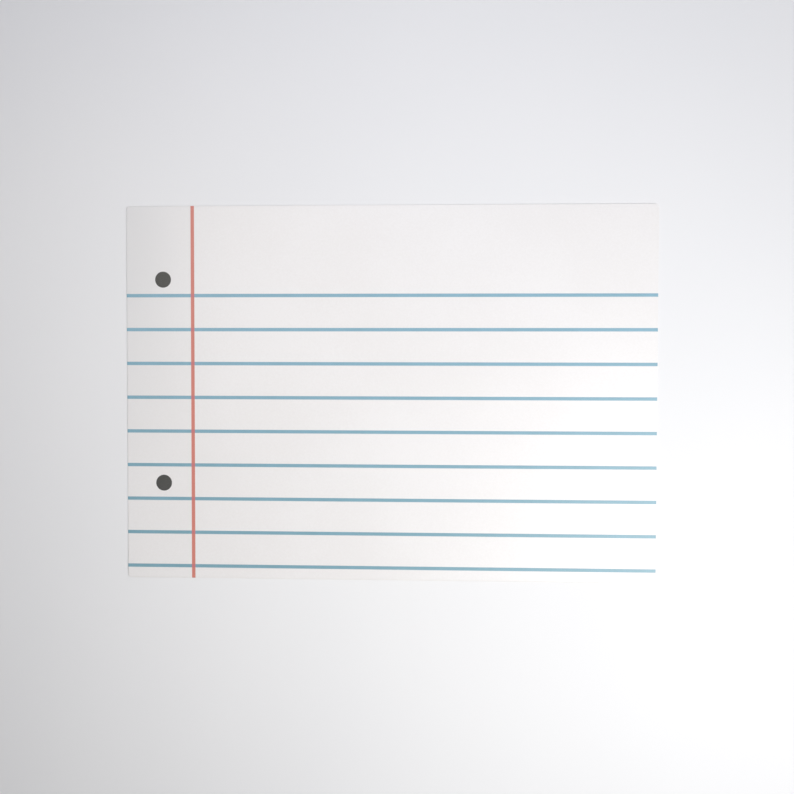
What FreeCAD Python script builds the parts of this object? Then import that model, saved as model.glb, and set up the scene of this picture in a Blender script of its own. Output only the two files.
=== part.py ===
"""Ruled writing mat: a thin laminated sheet printed like loose-leaf notebook paper.

Millimetres, +Z up. The mat lies face up: +X runs along the rules, away from the margin,
and +Y points to the plain header. The origin is the centre of the back face.
"""

import FreeCAD
import Part
import os

# Sheet outline
SHEET_LENGTH = 420.0  # along X, parallel to the rules
SHEET_WIDTH = 297.0  # along Y, from the foot to the header
CORNER_RADIUS = 2.5

# Laminate, from the back up
BACK_FILM = 0.10
BACK_ADHESIVE = 0.03
CARD_CORE = 0.30
FACE_ADHESIVE = 0.03
FACE_FILM = 0.10

# Blue rules, the full length of the sheet
RULE_COUNT = 9
RULE_THICKNESS = 2.7
HEADER_DEPTH = 71.0  # header edge to the middle of the first rule
FOOT_MARGIN = 9.7  # foot edge to the middle of the last rule

# Red margin line, the full width of the sheet
MARGIN_LINE_THICKNESS = 2.8
MARGIN_INSET = 53.2  # left edge to the middle of the line

# Printed hole dots, in the margin
DOT_DIAMETER = 12.8
DOT_INSET = 29.5  # left edge to the middle of a dot
UPPER_DOT_DROP = 58.3  # header edge to the middle of the upper dot
DOT_SPACING = 162.3

# Ink films: the first colour down, and the colours that may cross over it
FIRST_INK = 0.015
OVER_INK = 0.030


def rounded_sheet(bottom, thickness):
    """A plate with the mat's outline, its corners rounded."""
    corner = FreeCAD.Vector(-SHEET_LENGTH / 2, -SHEET_WIDTH / 2, bottom)
    plate = Part.makeBox(SHEET_LENGTH, SHEET_WIDTH, thickness, corner)
    uprights = [edge for edge in plate.Edges if is_upright(edge)]
    return plate.makeFillet(CORNER_RADIUS, uprights)


def is_upright(edge):
    """Whether an edge runs along Z."""
    start = edge.Vertexes[0].Point
    end = edge.Vertexes[-1].Point
    return abs(start.x - end.x) < 1e-6 and abs(start.y - end.y) < 1e-6


def laminate():
    """The bonded layers by name, from the back up, and the height of the printed face."""
    layers = {}
    height = 0.0
    for name, thickness in (
        ("back_film", BACK_FILM),
        ("back_adhesive", BACK_ADHESIVE),
        ("card_core", CARD_CORE),
        ("face_adhesive", FACE_ADHESIVE),
        ("face_film", FACE_FILM),
    ):
        layers[name] = rounded_sheet(height, thickness)
        height += thickness
    return layers, height


def trimmed(ink, face):
    """An ink shape cut off at the mat's outline, as the die cuts through the print."""
    return ink.common(rounded_sheet(face, OVER_INK))


def rule(number, face):
    """One blue rule, numbered from the header."""
    pitch = (SHEET_WIDTH - HEADER_DEPTH - FOOT_MARGIN) / (RULE_COUNT - 1)
    middle = SHEET_WIDTH / 2 - HEADER_DEPTH - (number - 1) * pitch
    corner = FreeCAD.Vector(-SHEET_LENGTH / 2, middle - RULE_THICKNESS / 2, face)
    return trimmed(Part.makeBox(SHEET_LENGTH, RULE_THICKNESS, FIRST_INK, corner), face)


def margin_line(face):
    """The red margin line, before the rules under it are taken out."""
    left = MARGIN_INSET - MARGIN_LINE_THICKNESS / 2 - SHEET_LENGTH / 2
    corner = FreeCAD.Vector(left, -SHEET_WIDTH / 2, face)
    return trimmed(Part.makeBox(MARGIN_LINE_THICKNESS, SHEET_WIDTH, OVER_INK, corner), face)


def hole_dot(drop, face):
    """A printed dot whose middle is a given drop below the header edge."""
    middle = FreeCAD.Vector(DOT_INSET - SHEET_LENGTH / 2, SHEET_WIDTH / 2 - drop, face)
    return trimmed(Part.makeCylinder(DOT_DIAMETER / 2, OVER_INK, middle), face)


def printed_over(ink, inks_below):
    """An ink shape with the inks that it is printed over taken out of its underside."""
    for below in inks_below:
        ink = ink.cut(below)
    return ink


def print_layers(face):
    """The ink shapes by name, in the order they are printed."""
    rules = {f"rule_{number}": rule(number, face) for number in range(1, RULE_COUNT + 1)}
    line = printed_over(margin_line(face), rules.values())
    below_dots = [*rules.values(), line]
    upper = printed_over(hole_dot(UPPER_DOT_DROP, face), below_dots)
    lower = printed_over(hole_dot(UPPER_DOT_DROP + DOT_SPACING, face), below_dots)
    return {**rules, "margin_line": line, "hole_dot_upper": upper, "hole_dot_lower": lower}


def main():
    """Build every layer and ink, and write one STEP file for each."""
    layers, face = laminate()
    os.makedirs("parts", exist_ok=True)
    for name, shape in {**layers, **print_layers(face)}.items():
        shape.exportStep(f"parts/{name}.step")
        print(f"{name}: {shape.Volume:.2f} mm3, {len(shape.Solids)} solid")


main()
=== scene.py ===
"""Dresses the ruled writing mat, a laminated sheet printed like loose-leaf paper, on a pale table."""

import logging
import math
from dataclasses import dataclass, field
from enum import Enum
from typing import Sequence

import bpy
from mathutils import Euler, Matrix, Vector


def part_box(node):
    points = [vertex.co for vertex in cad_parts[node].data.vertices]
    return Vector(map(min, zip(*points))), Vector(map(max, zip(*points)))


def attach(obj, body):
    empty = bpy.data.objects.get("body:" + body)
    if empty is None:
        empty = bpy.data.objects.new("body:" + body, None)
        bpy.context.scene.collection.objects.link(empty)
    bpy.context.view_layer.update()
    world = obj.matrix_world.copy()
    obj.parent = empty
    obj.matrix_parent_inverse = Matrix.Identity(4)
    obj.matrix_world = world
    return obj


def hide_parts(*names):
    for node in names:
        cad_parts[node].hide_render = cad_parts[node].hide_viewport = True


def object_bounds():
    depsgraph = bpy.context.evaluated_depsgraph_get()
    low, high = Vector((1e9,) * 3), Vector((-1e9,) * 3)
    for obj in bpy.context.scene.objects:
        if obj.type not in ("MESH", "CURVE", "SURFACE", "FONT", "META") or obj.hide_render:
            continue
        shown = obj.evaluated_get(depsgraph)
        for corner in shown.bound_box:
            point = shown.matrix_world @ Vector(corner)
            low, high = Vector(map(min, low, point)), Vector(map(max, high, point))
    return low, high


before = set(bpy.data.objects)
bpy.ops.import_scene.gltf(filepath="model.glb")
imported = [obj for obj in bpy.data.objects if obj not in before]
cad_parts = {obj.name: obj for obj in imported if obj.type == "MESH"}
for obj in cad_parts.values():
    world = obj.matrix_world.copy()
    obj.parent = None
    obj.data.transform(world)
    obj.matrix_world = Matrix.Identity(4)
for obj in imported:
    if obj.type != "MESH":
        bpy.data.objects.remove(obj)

CAD_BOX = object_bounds()
MM = 0.001

log = logging.getLogger("writing_mat")

Point = tuple[float, float, float]
Colour = tuple[float, float, float]
Spoke = tuple[float, float, float, float, int]


class Slot(Enum):
    """The record's material slots."""

    FACE_FILM = "face_film"
    BACK_FILM = "back_film"
    CARD = "white_card"
    ADHESIVE = "adhesive"
    BLUE_INK = "blue_ink"
    RED_INK = "red_ink"
    GREY_INK = "grey_ink"


# ---------------------------------------------------------------- shader maths


class Wire:
    """A shader socket that takes part in Python expressions, each adding its Math node."""

    def __init__(self, desk: "Desk", socket: bpy.types.NodeSocket | None) -> None:
        """Wraps an output socket.

        Args:
            desk: the node tree being written.
            socket: the output that this wire carries, or none from a node that only takes values in.
        """
        self.desk = desk
        self.socket = socket

    def _maths(self, operation: str, first: "Wire | float", second: "Wire | float") -> "Wire":
        """Adds a Math node.

        Args:
            operation: the Math node's operation.
            first: its first value.
            second: its second value.

        Returns:
            The node's result.
        """
        return self.desk.node("ShaderNodeMath", {"operation": operation}, {0: first, 1: second})

    def __add__(self, other: "Wire | float") -> "Wire":
        """Returns this value plus another."""
        return self._maths("ADD", self, other)

    __radd__ = __add__

    def __sub__(self, other: "Wire | float") -> "Wire":
        """Returns this value less another."""
        return self._maths("SUBTRACT", self, other)

    def __rsub__(self, other: "Wire | float") -> "Wire":
        """Returns another value less this one."""
        return self._maths("SUBTRACT", other, self)

    def __mul__(self, other: "Wire | float") -> "Wire":
        """Returns this value times another."""
        return self._maths("MULTIPLY", self, other)

    __rmul__ = __mul__

    def __truediv__(self, other: "Wire | float") -> "Wire":
        """Returns this value over another."""
        return self._maths("DIVIDE", self, other)

    def __rtruediv__(self, other: "Wire | float") -> "Wire":
        """Returns another value over this one."""
        return self._maths("DIVIDE", other, self)

    def __pow__(self, power: float) -> "Wire":
        """Returns this value raised to a power."""
        return self._maths("POWER", self, power)

    def __abs__(self) -> "Wire":
        """Returns this value without its sign."""
        return self._maths("ABSOLUTE", self, 0.0)


class Desk:
    """The node tree of one material, written from an empty page."""

    def __init__(self, name: str) -> None:
        """Makes a material with an empty tree.

        Args:
            name: the material's name.
        """
        self.material = bpy.data.materials.new(name)
        self.material.use_nodes = True
        self.tree = self.material.node_tree
        self.tree.nodes.clear()

    def node(
        self,
        kind: str,
        settings: dict[str, object] | None = None,
        values: dict[int | str, object] | None = None,
        output: int | str = 0,
    ) -> Wire:
        """Adds any node.

        Args:
            kind: the node's type.
            settings: its properties, set before its sockets.
            values: what goes in each input, a wire or a plain value.
            output: which output to return.

        Returns:
            The chosen output, or an empty wire from a node that has none.
        """
        made = self.tree.nodes.new(kind)
        for key, value in (settings or {}).items():
            setattr(made, key, value)
        for key, value in (values or {}).items():
            if isinstance(value, Wire):
                self.tree.links.new(value.socket, made.inputs[key])
            else:
                made.inputs[key].default_value = value
        return Wire(self, made.outputs[output] if made.outputs else None)

    def places(self) -> Wire:
        """Returns each point's place in the object's own metres."""
        return self.node("ShaderNodeTexCoord", output="Object")

    def along(self, axis: str) -> Wire:
        """Returns each point's place along one of the object's own axes, "X", "Y" or "Z"."""
        return self.node("ShaderNodeSeparateXYZ", values={0: self.places()}, output=axis)

    def noise(self, grain: float, detail: float = 2.0, stretch: Point = (1.0, 1.0, 1.0)) -> Wire:
        """Adds noise over the surface.

        Args:
            grain: the size of its features in metres.
            detail: how many finer layers it has.
            stretch: how much longer its features are along each axis.

        Returns:
            The noise, from 0 to 1.
        """
        scaled = self.node(
            "ShaderNodeVectorMath",
            {"operation": "MULTIPLY"},
            {0: self.places(), 1: tuple(1 / (grain * s) for s in stretch)},
        )
        return self.node(
            "ShaderNodeTexNoise",
            {"noise_dimensions": "3D"},
            {"Vector": scaled, "Scale": 1.0, "Detail": detail, "Roughness": 0.55},
        )

    def span(self, value: Wire, low: float, high: float, start: float, end: float) -> Wire:
        """Maps a value smoothly from one range to another.

        Args:
            value: the value to map.
            low: where the result starts to change.
            high: where it stops changing.
            start: the result at low.
            end: the result at high.

        Returns:
            The mapped value, clamped.
        """
        return self.node(
            "ShaderNodeMapRange",
            {"interpolation_type": "SMOOTHSTEP", "clamp": True},
            {"Value": value, "From Min": low, "From Max": high, "To Min": start, "To Max": end},
        )

    def blend(self, share: Wire | float, first: Colour | Wire, second: Colour | Wire) -> Wire:
        """Mixes two colours.

        Args:
            share: how much of the second shows, from 0 to 1.
            first: the colour at 0.
            second: the colour at 1.

        Returns:
            The mixed colour.
        """
        ends = [c if isinstance(c, Wire) else (*c, 1.0) for c in (first, second)]
        return self.node(
            "ShaderNodeMix",
            {"data_type": "RGBA", "clamp_factor": True},
            {"Factor": share, 6: ends[0], 7: ends[1]},
            output=2,
        )

    def bump(self, height: Wire, depth: float, strength: float = 1.0) -> Wire:
        """Turns a height from 0 to 1 into a shading normal.

        Args:
            height: the height.
            depth: how deep 1 is, in metres.
            strength: how much of it shows.

        Returns:
            The normal.
        """
        return self.node(
            "ShaderNodeBump", values={"Strength": strength, "Distance": depth, "Height": height}
        )

    def finish(self, values: dict[str, object]) -> bpy.types.Material:
        """Adds the surface shader and the output.

        Args:
            values: the Principled node's sockets, as wires or plain values.

        Returns:
            The finished material.
        """
        surface = self.node("ShaderNodeBsdfPrincipled", values=values)
        self.node("ShaderNodeOutputMaterial", values={"Surface": surface})
        return self.material


# ---------------------------------------------------------------- the cut shape


@dataclass(frozen=True)
class Outline:
    """The die-cut outline, a rectangle with rounded corners, about the middle of the mat."""

    half_length: float
    half_width: float
    corner: float = 2.5 * MM
    roll_reach: float = 0.50 * MM
    roll_drop: float = 0.065 * MM

    def inset(self, x: float, y: float) -> float:
        """Finds how far inside the straight edges a point is.

        Args:
            x: place along the rules.
            y: place from the foot to the header.

        Returns:
            The distance to the nearest straight edge.
        """
        return min(self.half_length - abs(x), self.half_width - abs(y))

    def rolled(self, inset: float) -> float:
        """Finds how far the die has rolled the face down near the edge.

        Args:
            inset: the distance inside the edge.

        Returns:
            The drop of the face there.
        """
        near = max(0.0, 1.0 - inset / self.roll_reach)
        return self.roll_drop * near * near

    def edge_places(self) -> list[float]:
        """Returns distances inside the edge, close together where the die rolls the face down."""
        return [step * MM for step in (0.0, 0.02, 0.06, 0.12, 0.2, 0.3, 0.4, 0.5, 0.7, 1.2, 2.2)]


# ---------------------------------------------------------------- finishes


@dataclass(frozen=True)
class SatinFilm:
    """The white plastic film that carries the print, satin, with a fine grain and faint marks of handling.

    It is painted a little darker toward the margin edge, most at the header: this is painted shade, not a
    change in the film.
    """

    outline: Outline
    white: Colour = (0.80, 0.770, 0.760)
    warm: Colour = (0.775, 0.742, 0.728)
    # Painted shade: the colour, reach and falloff of the darkening painted toward the margin edge and the
    # header.
    painted_shade: Colour = (0.700, 0.680, 0.675)
    painted_shade_reach: float = 95.0 * MM
    painted_shade_falloff: float = 1.6
    painted_shade_at_foot: float = 0.1
    roughness: float = 0.42
    drift: float = 110.0 * MM
    fleck: float = 1.4 * MM
    grain: float = 0.35 * MM
    swell: float = 16.0 * MM
    hairline_across: float = 1.6 * MM
    hairline_along: float = 1.9 * MM
    rub_patch: float = 60.0 * MM

    def _painted_shade_share(self, desk: Desk) -> Wire:
        """Finds how much painted shade darkens the film, from 0 to 1.

        Args:
            desk: the material being written.

        Returns:
            1 at the margin edge's header end, falling inwards and toward the foot.
        """
        edge, side = self.outline.half_length, self.outline.half_width
        inwards = (desk.along("X") + edge) / self.painted_shade_reach
        near_edge = desk.span(inwards, 0.0, 1.0, 1.0, 0.0) ** self.painted_shade_falloff
        return near_edge * desk.span(desk.along("Y"), -side, side, self.painted_shade_at_foot, 1.0)

    def _hairlines(self, desk: Desk) -> Wire:
        """Finds the fine wiping scratches, long and thin both ways, in the patches where the mat is rubbed.

        Args:
            desk: the material being written.

        Returns:
            1 on a scratch and 0 beside it.
        """
        across = desk.noise(self.hairline_across, 1.0, (26.0, 1.0, 1.0))
        along = desk.noise(self.hairline_along, 1.0, (1.0, 22.0, 1.0))
        rubbed = desk.span(desk.noise(self.rub_patch, 2.0), 0.48, 0.68, 0.0, 1.0)
        scratches = desk.span(across, 0.68, 0.76, 0.0, 1.0) + desk.span(along, 0.69, 0.77, 0.0, 1.0)
        return scratches * rubbed

    def material(self) -> bpy.types.Material:
        """Returns the film's material."""
        desk = Desk("satin_film")
        drift = desk.noise(self.drift, 2.0)
        flecks = desk.noise(self.fleck, 3.0)
        tone = desk.span(drift * 0.55 + flecks * 0.45, 0.36, 0.64, 0.0, 1.0)
        hairlines = self._hairlines(desk)
        height = desk.noise(self.grain, 2.0) * 0.12 + desk.noise(self.swell, 1.0) * 0.85 + hairlines * 0.03
        unshaded_tone = desk.blend(tone, self.warm, self.white)
        return desk.finish(
            {
                # Painted shade darkens the film's colour toward the margin edge and the header.
                "Base Color": desk.blend(self._painted_shade_share(desk), unshaded_tone, self.painted_shade),
                "Roughness": (drift - 0.5) * 0.05 + hairlines * 0.06 + self.roughness,
                "IOR": 1.5,
                "Normal": desk.bump(height, 0.02 * MM, 0.8),
            }
        )


@dataclass(frozen=True)
class MatteFilm:
    """The plain film on the underside, matte, with a coarser grain that grips the desk."""

    white: Colour = (0.78, 0.775, 0.76)
    grey: Colour = (0.70, 0.695, 0.68)
    roughness: float = 0.62
    grain: float = 0.7 * MM
    drift: float = 80.0 * MM
    rub_patch: float = 30.0 * MM

    def material(self) -> bpy.types.Material:
        """Returns the film's material."""
        desk = Desk("matte_film")
        grain = desk.noise(self.grain, 3.0)
        drift = desk.noise(self.drift, 2.0)
        rub = desk.span(desk.noise(self.rub_patch, 4.0), 0.55, 0.75, 0.0, 1.0)
        tone = desk.span(drift + rub * 0.3, 0.35, 0.85, 0.0, 1.0)
        return desk.finish(
            {
                "Base Color": desk.blend(tone, self.white, self.grey),
                "Roughness": grain * 0.1 - rub * 0.08 + self.roughness,
                "IOR": 1.48,
                "Normal": desk.bump(grain, 0.03 * MM, 0.9),
            }
        )


@dataclass(frozen=True)
class CardStock:
    """Pressed white card, whose cut edge shows its plies and fibres."""

    white: Colour = (0.83, 0.81, 0.76)
    fibre: Colour = (0.66, 0.62, 0.54)
    ply: float = 0.07 * MM
    fibre_size: float = 0.5 * MM

    def material(self) -> bpy.types.Material:
        """Returns the card's material."""
        desk = Desk("card_stock")
        plies = desk.noise(self.ply, 1.0, (60.0, 60.0, 1.0))
        fibres = desk.noise(self.fibre_size, 4.0)
        tone = desk.span(plies * 0.5 + fibres * 0.5, 0.4, 0.68, 0.0, 1.0)
        return desk.finish(
            {
                "Base Color": desk.blend(tone, self.white, self.fibre),
                "Roughness": fibres * 0.12 + 0.8,
                "IOR": 1.4,
                "Normal": desk.bump(plies * 0.6 + fibres * 0.4, 0.04 * MM),
            }
        )


@dataclass(frozen=True)
class AdhesiveCoat:
    """The thin cream layer that bonds a film to the card."""

    cream: Colour = (0.74, 0.71, 0.62)
    dust: Colour = (0.52, 0.49, 0.43)
    grime_size: float = 4.0 * MM

    def material(self) -> bpy.types.Material:
        """Returns the adhesive's material."""
        desk = Desk("adhesive_coat")
        grime = desk.noise(self.grime_size, 4.0)
        return desk.finish(
            {
                "Base Color": desk.blend(desk.span(grime, 0.45, 0.75, 0.0, 1.0), self.cream, self.dust),
                "Roughness": grime * 0.25 + 0.4,
                "IOR": 1.47,
            }
        )


@dataclass(frozen=True)
class Crossings:
    """The evenly spaced rules that a line is printed over, from the header down."""

    first: float
    pitch: float
    count: int
    half: float

    def over_rules(self, desk: Desk) -> Wire:
        """Finds where the line lies over a rule.

        Args:
            desk: the material being written.

        Returns:
            1 over a rule and 0 between them.
        """
        row = (desk.along("Y") - self.first) / self.pitch
        after_last = desk.node("ShaderNodeMath", {"operation": "MAXIMUM"}, {0: row, 1: 1.0 - self.count})
        within = desk.node("ShaderNodeMath", {"operation": "MINIMUM"}, {0: after_last, 1: 0.0})
        nearest = desk.node("ShaderNodeMath", {"operation": "ROUND"}, {0: within})
        return desk.span(abs(row - nearest) * self.pitch, self.half * 0.85, self.half * 1.1, 1.0, 0.0)


@dataclass(frozen=True)
class PrintedInk:
    """A screen-printed ink film, as glossy as the film that it is on, its colour shifting smoothly from one
    given colour near the header to another near the foot.
    """

    name: str
    outline: Outline
    colour: Colour
    # The colour near the header; the colour field above is the one near the foot.
    thin: Colour
    header_tone_depth: float = 68.5 * MM
    foot_tone_rise: float = 3.5 * MM
    roughness: float = 0.40
    mottle: float = 0.9 * MM
    streak: float = 20.0 * MM
    over: Colour | None = None
    crossings: Crossings | None = None

    def material(self) -> bpy.types.Material:
        """Returns the ink's material."""
        desk = Desk(self.name)
        mottle = desk.noise(self.mottle, 3.0)
        streak = desk.noise(self.streak, 2.0)
        uneven = desk.span(mottle * 0.6 + streak * 0.4, 0.34, 0.62, 0.0, 1.0)
        foot_tone_end = self.foot_tone_rise - self.outline.half_width
        header_tone_end = self.outline.half_width - self.header_tone_depth
        footwards = desk.span(desk.along("Y"), foot_tone_end, header_tone_end, 1.0, 0.0)
        foot_tone_share = uneven * 0.4 + footwards * 0.6
        colour = desk.blend(foot_tone_share, self.thin, self.colour)
        if self.crossings is not None:
            colour = desk.blend(self.crossings.over_rules(desk) * 0.6, colour, self.over)
        return desk.finish(
            {
                "Base Color": colour,
                "Roughness": (mottle - 0.5) * 0.12 + self.roughness,
                "IOR": 1.5,
                "Normal": desk.bump(mottle, 0.004 * MM, 0.7),
            }
        )


@dataclass(frozen=True)
class TableTop:
    """The pale, smooth table that the mat lies on."""

    pale: Colour = (0.767, 0.754, 0.758)
    paler: Colour = (0.787, 0.772, 0.772)
    roughness: float = 0.55
    cloud: float = 400.0 * MM

    def material(self) -> bpy.types.Material:
        """Returns the table's material."""
        desk = Desk("table_top")
        cloud = desk.noise(self.cloud, 2.0)
        return desk.finish(
            {
                "Base Color": desk.blend(desk.span(cloud, 0.3, 0.7, 0.0, 1.0), self.pale, self.paler),
                "Roughness": (cloud - 0.5) * 0.04 + self.roughness,
                "IOR": 1.45,
            }
        )


# ---------------------------------------------------------------- how the sheet lies


@dataclass(frozen=True)
class Lay:
    """How the mat lies on the table: nearly flat, with a faint arch across it and edges that hug the table.

    Only the corner between the margin and the foot, where the mat is picked up, curls up a little.
    """

    outline: Outline
    crest_height: float = 0.15 * MM
    crest_at_foot: float = -5.0 * MM
    crest_at_header: float = 125.0 * MM
    margin_flank: float = 85.0 * MM
    far_flank: float = 95.0 * MM
    ripple: float = 0.10 * MM
    edge_reach: float = 6.0 * MM
    edge_drop: float = 0.10 * MM
    corner_lift: float = 0.40 * MM
    corner_reach: float = 32.0 * MM

    def height(self, x: float, y: float) -> float:
        """Finds how far the sheet stands off the table.

        Args:
            x: place along the rules.
            y: place from the foot to the header.

        Returns:
            The height of the back face there.
        """
        share = (y / self.outline.half_width + 1.0) / 2.0
        crest = self.crest_at_foot + share * (self.crest_at_header - self.crest_at_foot)
        flank = self.margin_flank if x < crest else self.far_flank
        arch = self.crest_height * math.exp(-0.5 * ((x - crest) / flank) ** 2)
        long_wave = math.sin(x / (46.0 * MM) + 1.9 * y / (100.0 * MM) + 0.7)
        short_wave = math.sin(y / (31.0 * MM) - x / (83.0 * MM) + 2.1)
        ripples = self.ripple * (2.0 + long_wave + short_wave) / 4.0
        near = max(0.0, 1.0 - self.outline.inset(x, y) / self.edge_reach)
        hug = self.edge_drop * (1.0 - near * near)
        from_corner = math.hypot(x + self.outline.half_length, y + self.outline.half_width)
        curl = self.corner_lift * math.exp(-((from_corner / self.corner_reach) ** 2))
        return arch + ripples + hug + curl


# ---------------------------------------------------------------- meshes


def steps(start: float, end: float, longest: float) -> list[float]:
    """Divides a length evenly.

    Args:
        start: one end.
        end: the other end.
        longest: the longest step allowed.

    Returns:
        The places from start to end, both included.
    """
    count = max(1, math.ceil(abs(end - start) / longest))
    return [start + (end - start) * i / count for i in range(count + 1)]


def make_piece(
    name: str, points: Sequence[Point], faces: Sequence[Sequence[int]], material: bpy.types.Material
) -> bpy.types.Object:
    """Makes a closed, smoothly shaded mesh with crisp corners.

    Args:
        name: the piece's name.
        points: its vertices, in metres.
        faces: its faces, as vertex numbers.
        material: its finish.

    Returns:
        The new object, linked to the scene.
    """
    mesh = bpy.data.meshes.new(name)
    mesh.from_pydata(points, [], faces)
    mesh.materials.append(material)
    mesh.validate()
    mesh.shade_smooth()
    mesh.set_sharp_from_angle(angle=math.radians(42.0))
    piece = bpy.data.objects.new(name, mesh)
    bpy.context.scene.collection.objects.link(piece)
    return piece


@dataclass
class Plate:
    """A closed solid with the mat's outline, built from its edge's section and laid on the table."""

    outline: Outline
    lay: Lay
    cell: float = 6.0 * MM
    corner_steps: int = 10
    points: list[Point] = field(default_factory=list)
    faces: list[tuple[int, ...]] = field(default_factory=list)

    def _spokes(self) -> list[Spoke]:
        """Lists where the rings leave the inner rectangle.

        Returns:
            For each spoke, its foot, its direction and the number of its foot in the inner grid.
        """
        xs, ys = self._inner_lines()
        last_x, last_y = len(xs) - 1, len(ys) - 1
        sides = (
            ([(i, 0) for i in range(last_x + 1)], -90.0),
            ([(last_x, j) for j in range(last_y + 1)], 0.0),
            ([(i, last_y) for i in range(last_x, -1, -1)], 90.0),
            ([(0, j) for j in range(last_y, -1, -1)], 180.0),
        )
        spokes = []
        for cells, facing in sides:
            fan = [facing + 90.0 * step / self.corner_steps for step in range(1, self.corner_steps)]
            turns = [facing] * len(cells) + fan
            feet = cells + [cells[-1]] * len(fan)
            for (i, j), turn in zip(feet, turns):
                angle = math.radians(turn)
                spokes.append((xs[i], ys[j], math.cos(angle), math.sin(angle), j * len(xs) + i))
        return spokes

    def _inner_lines(self) -> tuple[list[float], list[float]]:
        """Returns the X and Y lines of the grid inside the rounded corners."""
        reach_x = self.outline.half_length - self.outline.corner
        reach_y = self.outline.half_width - self.outline.corner
        return steps(-reach_x, reach_x, self.cell), steps(-reach_y, reach_y, self.cell)

    def _add_grid(self, height: float, upwards: bool) -> int:
        """Adds the inner grid at one height.

        Args:
            height: its height above the back face.
            upwards: whether its faces look up.

        Returns:
            The number of its first vertex.
        """
        xs, ys = self._inner_lines()
        first = len(self.points)
        self.points += [(x, y, height + self.lay.height(x, y)) for y in ys for x in xs]
        for j in range(len(ys) - 1):
            for i in range(len(xs) - 1):
                corner = first + j * len(xs) + i
                face = (corner, corner + 1, corner + len(xs) + 1, corner + len(xs))
                self.faces.append(face if upwards else face[::-1])
        return first

    def _add_ring(self, spokes: list[Spoke], inset: float, height: float) -> int:
        """Adds one ring of the edge's section.

        Args:
            spokes: the spokes that it crosses.
            inset: its distance inside the outline.
            height: its height above the back face.

        Returns:
            The number of its first vertex.
        """
        first = len(self.points)
        reach = self.outline.corner - inset
        for x, y, east, north, _ in spokes:
            px, py = x + east * reach, y + north * reach
            self.points.append((px, py, height + self.lay.height(px, py)))
        return first

    def build(self, section: Sequence[tuple[float, float]]) -> "Plate":
        """Builds the solid.

        Args:
            section: the edge's section from the top face, out, down and in to the bottom face, as the
                inset and the height of each point. The first and last are on the two flat faces.

        Returns:
            This plate, with its points and faces.
        """
        spokes = self._spokes()
        count = len(spokes)
        top = self._add_grid(section[0][1], True)
        bottom = self._add_grid(section[-1][1], False)
        rings = [self._add_ring(spokes, inset, height) for inset, height in section[1:-1]]
        for k in range(count):
            after = (k + 1) % count
            here, there = spokes[k][4], spokes[after][4]
            self._join((top + here, top + there), (rings[0] + k, rings[0] + after))
            for outer, inner in zip(rings, rings[1:]):
                self.faces.append((outer + k, inner + k, inner + after, outer + after))
            self._join((bottom + there, bottom + here), (rings[-1] + after, rings[-1] + k))
        return self

    def _join(self, feet: tuple[int, int], ends: tuple[int, int]) -> None:
        """Joins two neighbouring spokes' feet to their ends, with a triangle at a corner.

        Args:
            feet: the two feet in the grid, the same one at a corner.
            ends: the two ends on the ring.
        """
        if feet[0] == feet[1]:
            self.faces.append((feet[0], ends[0], ends[1]))
        else:
            self.faces.append((feet[0], ends[0], ends[1], feet[1]))


@dataclass(frozen=True)
class Face:
    """The printed face, as a height over the whole sheet."""

    outline: Outline
    lay: Lay
    level: float

    def at(self, x: float, y: float) -> float:
        """Finds the face's height.

        Args:
            x: place along the rules.
            y: place from the foot to the header.

        Returns:
            The height of the face there.
        """
        return self.level - self.outline.rolled(self.outline.inset(x, y)) + self.lay.height(x, y)


class Run(Enum):
    """Which way an ink line runs."""

    ALONG_RULES = "x"
    ACROSS_RULES = "y"


@dataclass
class InkLine:
    """A printed line, a ribbon of ink with soft shoulders that follows the face to its cut edges."""

    face: Face
    run: Run
    middle: float
    half: float
    thickness: float
    reach: float
    crossed: tuple[float, ...] = ()
    climb: float = 0.0
    climb_half: float = 0.0
    shoulder: float = 0.12 * MM
    sink: float = 0.003 * MM
    cell: float = 6.0 * MM

    def _stations(self) -> list[float]:
        """Returns the places along the line, closer together at its ends and crossings."""
        near = [*self.face.outline.edge_places(), self.face.outline.corner]
        places = {-self.reach + inset for inset in near} | {self.reach - inset for inset in near}
        places |= set(steps(-self.reach + near[-1], self.reach - near[-1], self.cell))
        for crossing in self.crossed:
            for offset in (-0.30, -0.18, -0.06, 0.06):
                places |= {crossing - self.climb_half + offset * MM, crossing + self.climb_half - offset * MM}
        return sorted(places)

    def _rise(self, station: float) -> float:
        """Finds how far the line is lifted by the ink below it.

        Args:
            station: the place along the line.

        Returns:
            The lift there.
        """
        if not self.crossed:
            return 0.0
        outside = min(abs(station - crossing) for crossing in self.crossed) - self.climb_half
        share = min(1.0, max(0.0, 0.5 - outside / (0.36 * MM)))
        return self.climb * share * share * (3.0 - 2.0 * share)

    def _section(self) -> list[tuple[float, float]]:
        """Returns the line's section as places across it and heights above the face."""
        side = [
            (-self.half, -self.sink),
            (-self.half, self.thickness * 0.35),
            (-self.half + self.shoulder * 0.4, self.thickness * 0.82),
            (-self.half + self.shoulder, self.thickness),
            (-self.half / 3.0, self.thickness),
        ]
        return side + [(-across, height) for across, height in reversed(side)]

    def mesh(self) -> tuple[list[Point], list[tuple[int, ...]]]:
        """Returns the line's points and faces."""
        section, stations = self._section(), self._stations()
        points: list[Point] = []
        for station in stations:
            for across, height in section:
                along_rules = self.run is Run.ALONG_RULES
                x, y = (station, self.middle + across) if along_rules else (self.middle - across, station)
                points.append((x, y, self.face.at(x, y) + height + self._rise(station)))
        size, faces = len(section), []
        for s in range(len(stations) - 1):
            for k in range(size):
                here, after = s * size + k, s * size + (k + 1) % size
                faces.append((here, here + size, after + size, after))
        last = (len(stations) - 1) * size
        faces.append(tuple(range(size)))
        faces.append(tuple(range(last + size - 1, last - 1, -1)))
        return points, faces


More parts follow.
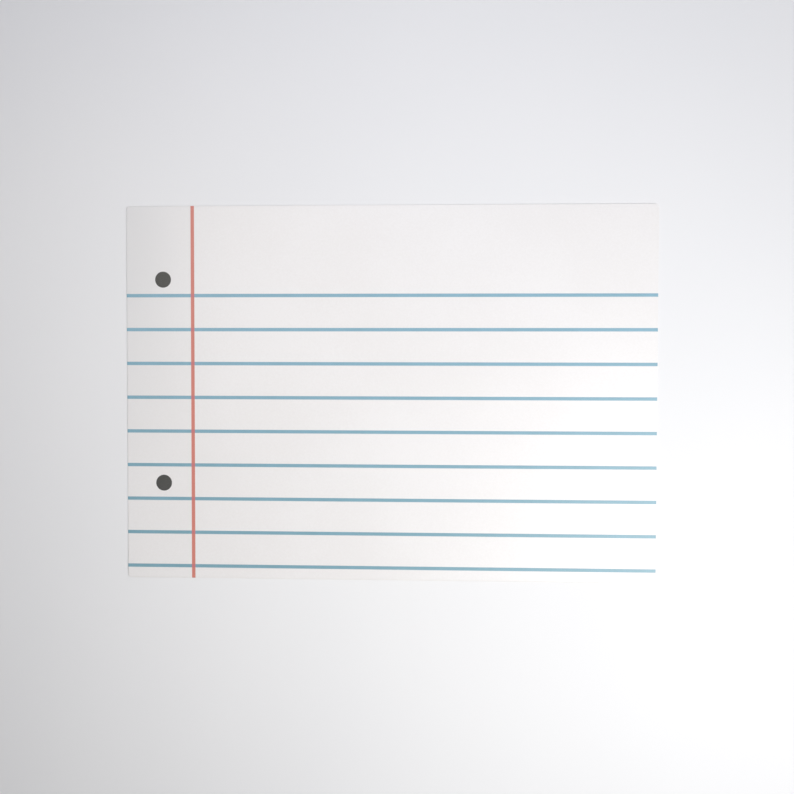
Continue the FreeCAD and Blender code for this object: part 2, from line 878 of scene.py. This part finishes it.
@dataclass
class InkDot:
    """A printed disc of ink with a soft rim."""

    face: Face
    x: float
    y: float
    radius: float
    thickness: float
    shoulder: float = 0.14 * MM
    sink: float = 0.003 * MM
    spokes: int = 96

    def mesh(self) -> tuple[list[Point], list[tuple[int, ...]]]:
        """Returns the disc's points and faces."""
        rings = [
            (self.radius * 0.35, self.thickness),
            (self.radius * 0.7, self.thickness),
            (self.radius - self.shoulder, self.thickness),
            (self.radius - self.shoulder * 0.4, self.thickness * 0.82),
            (self.radius, self.thickness * 0.35),
            (self.radius, -self.sink),
        ]
        points = [(self.x, self.y, self.face.at(self.x, self.y) + self.thickness)]
        for reach, height in rings:
            for k in range(self.spokes):
                turn = 2.0 * math.pi * k / self.spokes
                x, y = self.x + reach * math.cos(turn), self.y + reach * math.sin(turn)
                points.append((x, y, self.face.at(x, y) + height))
        faces: list[tuple[int, ...]] = []
        for k in range(self.spokes):
            after = (k + 1) % self.spokes
            faces.append((0, 1 + k, 1 + after))
            for ring in range(len(rings) - 1):
                inner = 1 + ring * self.spokes
                outer = inner + self.spokes
                faces.append((inner + k, outer + k, outer + after, inner + after))
        last = 1 + (len(rings) - 1) * self.spokes
        faces.append(tuple(range(last + self.spokes - 1, last - 1, -1)))
        return points, faces


# ---------------------------------------------------------------- the mat


def node_box(node: str) -> tuple[Vector, Vector]:
    """Returns a CAD node's lowest and highest corners."""
    low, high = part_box(node)
    return Vector(low), Vector(high)


def settle(piece: bpy.types.Object, node: str) -> None:
    """Puts a piece on the mat's one body in place of its CAD node.

    Args:
        piece: the finished piece.
        node: the CAD node that it stands for.
    """
    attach(piece, "root")
    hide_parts(node)
    log.info("%s stands for %s: %d faces", piece.name, node, len(piece.data.polygons))


@dataclass
class Laminate:
    """The bonded sheet: two films, two adhesive coats and the card between them."""

    outline: Outline
    lay: Lay
    back_finish: MatteFilm = MatteFilm()
    card_finish: CardStock = CardStock()
    adhesive_finish: AdhesiveCoat = AdhesiveCoat()
    adhesive_recess: float = 0.035 * MM
    card_recess: float = 0.02 * MM
    burr: float = 0.02 * MM

    def _plate(
        self,
        name: str,
        node: str,
        section: Sequence[tuple[float, float]],
        material: bpy.types.Material,
    ) -> None:
        """Builds one layer.

        Args:
            name: the piece's name.
            node: the CAD node that it stands for.
            section: its edge's section.
            material: its finish.
        """
        plate = Plate(self.outline, self.lay).build(section)
        settle(make_piece(name, plate.points, plate.faces, material), node)

    def build_face_film(self) -> None:
        """Builds the satin film, rolled down at the edge by the die."""
        low, high = (corner.z for corner in node_box("face_film"))
        corner = self.outline.corner
        insets = reversed(self.outline.edge_places()[1:])
        section = [(corner, high)]
        section += [(inset, high - self.outline.rolled(inset)) for inset in insets]
        edge = high - self.outline.rolled(0.0)
        section += [(0.0, edge - 0.006 * MM), (0.0, low + 0.004 * MM), (0.01 * MM, low), (corner, low)]
        finish = SatinFilm(self.outline).material()
        self._plate("satin_face", "face_film", section, finish)

    def build_adhesives(self) -> None:
        """Builds the two adhesive coats, each a little back from the cut edge."""
        finish = self.adhesive_finish.material()
        for name, node in (("face_bond", "face_adhesive"), ("back_bond", "back_adhesive")):
            low, high = (corner.z for corner in node_box(node))
            deep, inner = self.adhesive_recess, self.outline.corner
            middle = (low + high) / 2.0
            section = [(inner, high), (deep * 0.6, high), (deep, middle), (deep * 0.6, low), (inner, low)]
            self._plate(name, node, section, finish)

    def build_card(self) -> None:
        """Builds the card, whose cut edge bulges between its two crushed faces."""
        low, high = (corner.z for corner in node_box("card_core"))
        inner, crushed, thickness = self.outline.corner, self.card_recess, high - low
        section = [(inner, high), (crushed, high)]
        for share in (0.15, 0.35, 0.5, 0.65, 0.85):
            section.append((crushed * (1.0 - math.sin(math.pi * share)), high - thickness * share))
        section += [(crushed, low), (inner, low)]
        self._plate("card_sheet", "card_core", section, self.card_finish.material())

    def build_back_film(self) -> None:
        """Builds the film that the mat lies on, with the small burr that the die leaves."""
        low, high = (corner.z for corner in node_box("back_film"))
        inner, burr = self.outline.corner, self.burr
        section = [(inner, high), (burr, high), (burr * 0.2, high - burr), (0.0, low + burr * 1.5)]
        section += [(burr * 0.4, low + burr * 0.3), (burr * 1.6, low), (inner, low)]
        self._plate("matte_back", "back_film", section, self.back_finish.material())


@dataclass
class Print:
    """The inks: blue rules, the red margin line over them and two dark dots."""

    face: Face
    rule_nodes: tuple[str, ...]
    blue: Colour = (0.184, 0.340, 0.402)
    header_blue: Colour = (0.226, 0.400, 0.502)
    grey: Colour = (0.078, 0.076, 0.072)
    header_grey: Colour = (0.044, 0.042, 0.039)
    red: Colour = (0.61, 0.212, 0.170)
    header_red: Colour = (0.575, 0.190, 0.152)
    red_on_blue: Colour = (0.50, 0.15, 0.19)

    def build_rules(self) -> None:
        """Builds the blue rules from the header down."""
        finish = PrintedInk("blue_ink", self.face.outline, self.blue, self.header_blue).material()
        for node in self.rule_nodes:
            low, high = node_box(node)
            middle, half = (low.y + high.y) / 2.0, (high.y - low.y) / 2.0
            line = InkLine(self.face, Run.ALONG_RULES, middle, half, high.z - low.z, high.x)
            points, faces = line.mesh()
            settle(make_piece(f"blue_{node}", points, faces, finish), node)

    def build_margin_line(self) -> None:
        """Builds the red margin line, which climbs over each rule."""
        low, high = node_box("margin_line")
        boxes = [node_box(node) for node in self.rule_nodes]
        middles = tuple((below.y + above.y) / 2.0 for below, above in boxes)
        below, above = boxes[0]
        rule_half, rule_ink = (above.y - below.y) / 2.0, above.z - below.z
        finish = PrintedInk(
            "red_ink",
            self.face.outline,
            self.red,
            self.header_red,
            over=self.red_on_blue,
            crossings=Crossings(middles[0], middles[0] - middles[1], len(middles), rule_half),
        )
        line = InkLine(
            self.face,
            Run.ACROSS_RULES,
            (low.x + high.x) / 2.0,
            (high.x - low.x) / 2.0,
            high.z - low.z - rule_ink,
            high.y,
            crossed=middles,
            climb=rule_ink,
            climb_half=rule_half,
        )
        points, faces = line.mesh()
        settle(make_piece("red_margin_line", points, faces, finish.material()), "margin_line")

    def build_dots(self) -> None:
        """Builds the two dots that stand for punched holes."""
        finish = PrintedInk("grey_ink", self.face.outline, self.grey, self.header_grey).material()
        for node in ("hole_dot_upper", "hole_dot_lower"):
            low, high = node_box(node)
            middle = (low + high) / 2.0
            dot = InkDot(self.face, middle.x, middle.y, (high.x - low.x) / 2.0, high.z - low.z)
            points, faces = dot.mesh()
            settle(make_piece(f"grey_{node}", points, faces, finish), node)


# ---------------------------------------------------------------- the studio


@dataclass(frozen=True)
class Softbox:
    """A large soft lamp on a stand."""

    name: str
    place: Point
    aim: Point
    size: tuple[float, float]
    power: float
    colour: Colour
    spread: float = 180.0

    def build(self) -> None:
        """Adds the lamp, turned to its aim."""
        lamp = bpy.data.lights.new(self.name, "AREA")
        lamp.shape = "RECTANGLE"
        lamp.size, lamp.size_y = self.size
        lamp.energy = self.power
        lamp.color = self.colour
        lamp.spread = math.radians(self.spread)
        holder = bpy.data.objects.new(self.name, lamp)
        holder.location = self.place
        holder.rotation_euler = (Vector(self.aim) - Vector(self.place)).to_track_quat("-Z", "Y").to_euler()
        bpy.context.scene.collection.objects.link(holder)


@dataclass
class Studio:
    """The table, the light and the camera over the mat."""

    middle: Vector
    table_reach: float = 4.0
    table_gap: float = 0.02 * MM
    sky: Colour = (1.0, 1.0, 1.0)
    sky_strength: float = 0.08
    lens: float = 50.0
    distance: float = 0.8730
    tilt: tuple[float, float, float] = (-1.941, 3.014, 0.104)
    aim: tuple[float, float] = (6.35 * MM, -2.73 * MM)
    key: Softbox = Softbox(
        name="key",
        place=(0.45, -0.30, 0.9),
        aim=(0.05, -0.03, 0.0),
        size=(0.5, 0.5),
        power=9.78,
        colour=(0.985, 1.0, 0.993),
    )
    header_fill: Softbox = Softbox(
        name="header_fill",
        place=(0.0, 0.6, 1.0),
        aim=(0.0, 0.1, 0.0),
        size=(0.5, 0.5),
        power=4.14,
        colour=(0.80, 0.845, 1.0),
    )
    margin_fill: Softbox = Softbox(
        name="margin_fill",
        place=(-0.4, 0.25, 1.2),
        aim=(-0.12, 0.02, 0.0),
        size=(0.5, 0.5),
        power=0.26,
        colour=(1.0, 0.96, 0.85),
        spread=50.0,
    )

    def build_table(self) -> None:
        """Lays the table just under the mat."""
        reach, level = self.table_reach, self.middle.z - self.table_gap
        corners = ((-reach, -reach), (reach, -reach), (reach, reach), (-reach, reach))
        points = [(x, y, level) for x, y in corners]
        mesh = bpy.data.meshes.new("table")
        mesh.from_pydata(points, [], [(0, 1, 2, 3)])
        mesh.materials.append(TableTop().material())
        table = bpy.data.objects.new("table", mesh)
        bpy.context.scene.collection.objects.link(table)

    def build_light(self) -> None:
        """Sets the room's soft light and the three lamps."""
        world = bpy.data.worlds.new("room")
        world.use_nodes = True
        background = world.node_tree.nodes["Background"]
        background.inputs["Color"].default_value = (*self.sky, 1.0)
        background.inputs["Strength"].default_value = self.sky_strength
        bpy.context.scene.world = world
        for lamp in (self.key, self.header_fill, self.margin_fill):
            lamp.build()

    def build_camera(self) -> None:
        """Hangs the camera over the mat, leaning a little, as it is held by hand."""
        data = bpy.data.cameras.new("camera")
        data.lens = self.lens
        data.clip_start, data.clip_end = 0.01, 20.0
        camera = bpy.data.objects.new("camera", data)
        turn = Euler([math.radians(angle) for angle in self.tilt], "XYZ")
        back = turn.to_matrix() @ Vector((0.0, 0.0, 1.0))
        aim = self.middle + Vector((*self.aim, 0.0))
        camera.location = aim + back * self.distance
        camera.rotation_euler = turn
        bpy.context.scene.collection.objects.link(camera)
        bpy.context.scene.camera = camera


def main() -> None:
    """Builds the mat's layers, its print and the studio, in that order."""
    logging.basicConfig(level=logging.INFO, format="%(name)s: %(message)s")
    low, high = node_box("face_film")
    outline = Outline((high.x - low.x) / 2.0, (high.y - low.y) / 2.0)
    lay = Lay(outline)
    laminate = Laminate(outline, lay)
    laminate.build_back_film()
    laminate.build_adhesives()
    laminate.build_card()
    laminate.build_face_film()
    rules = sorted(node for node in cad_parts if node.startswith("rule_"))
    inks = Print(Face(outline, lay, high.z), tuple(rules))
    inks.build_rules()
    inks.build_margin_line()
    inks.build_dots()
    studio = Studio(Vector(((low.x + high.x) / 2.0, (low.y + high.y) / 2.0, CAD_BOX[0][2])))
    studio.build_table()
    studio.build_light()
    studio.build_camera()
    bpy.context.scene.view_settings.view_transform = "Standard"


if __name__ == "__main__":
    main()
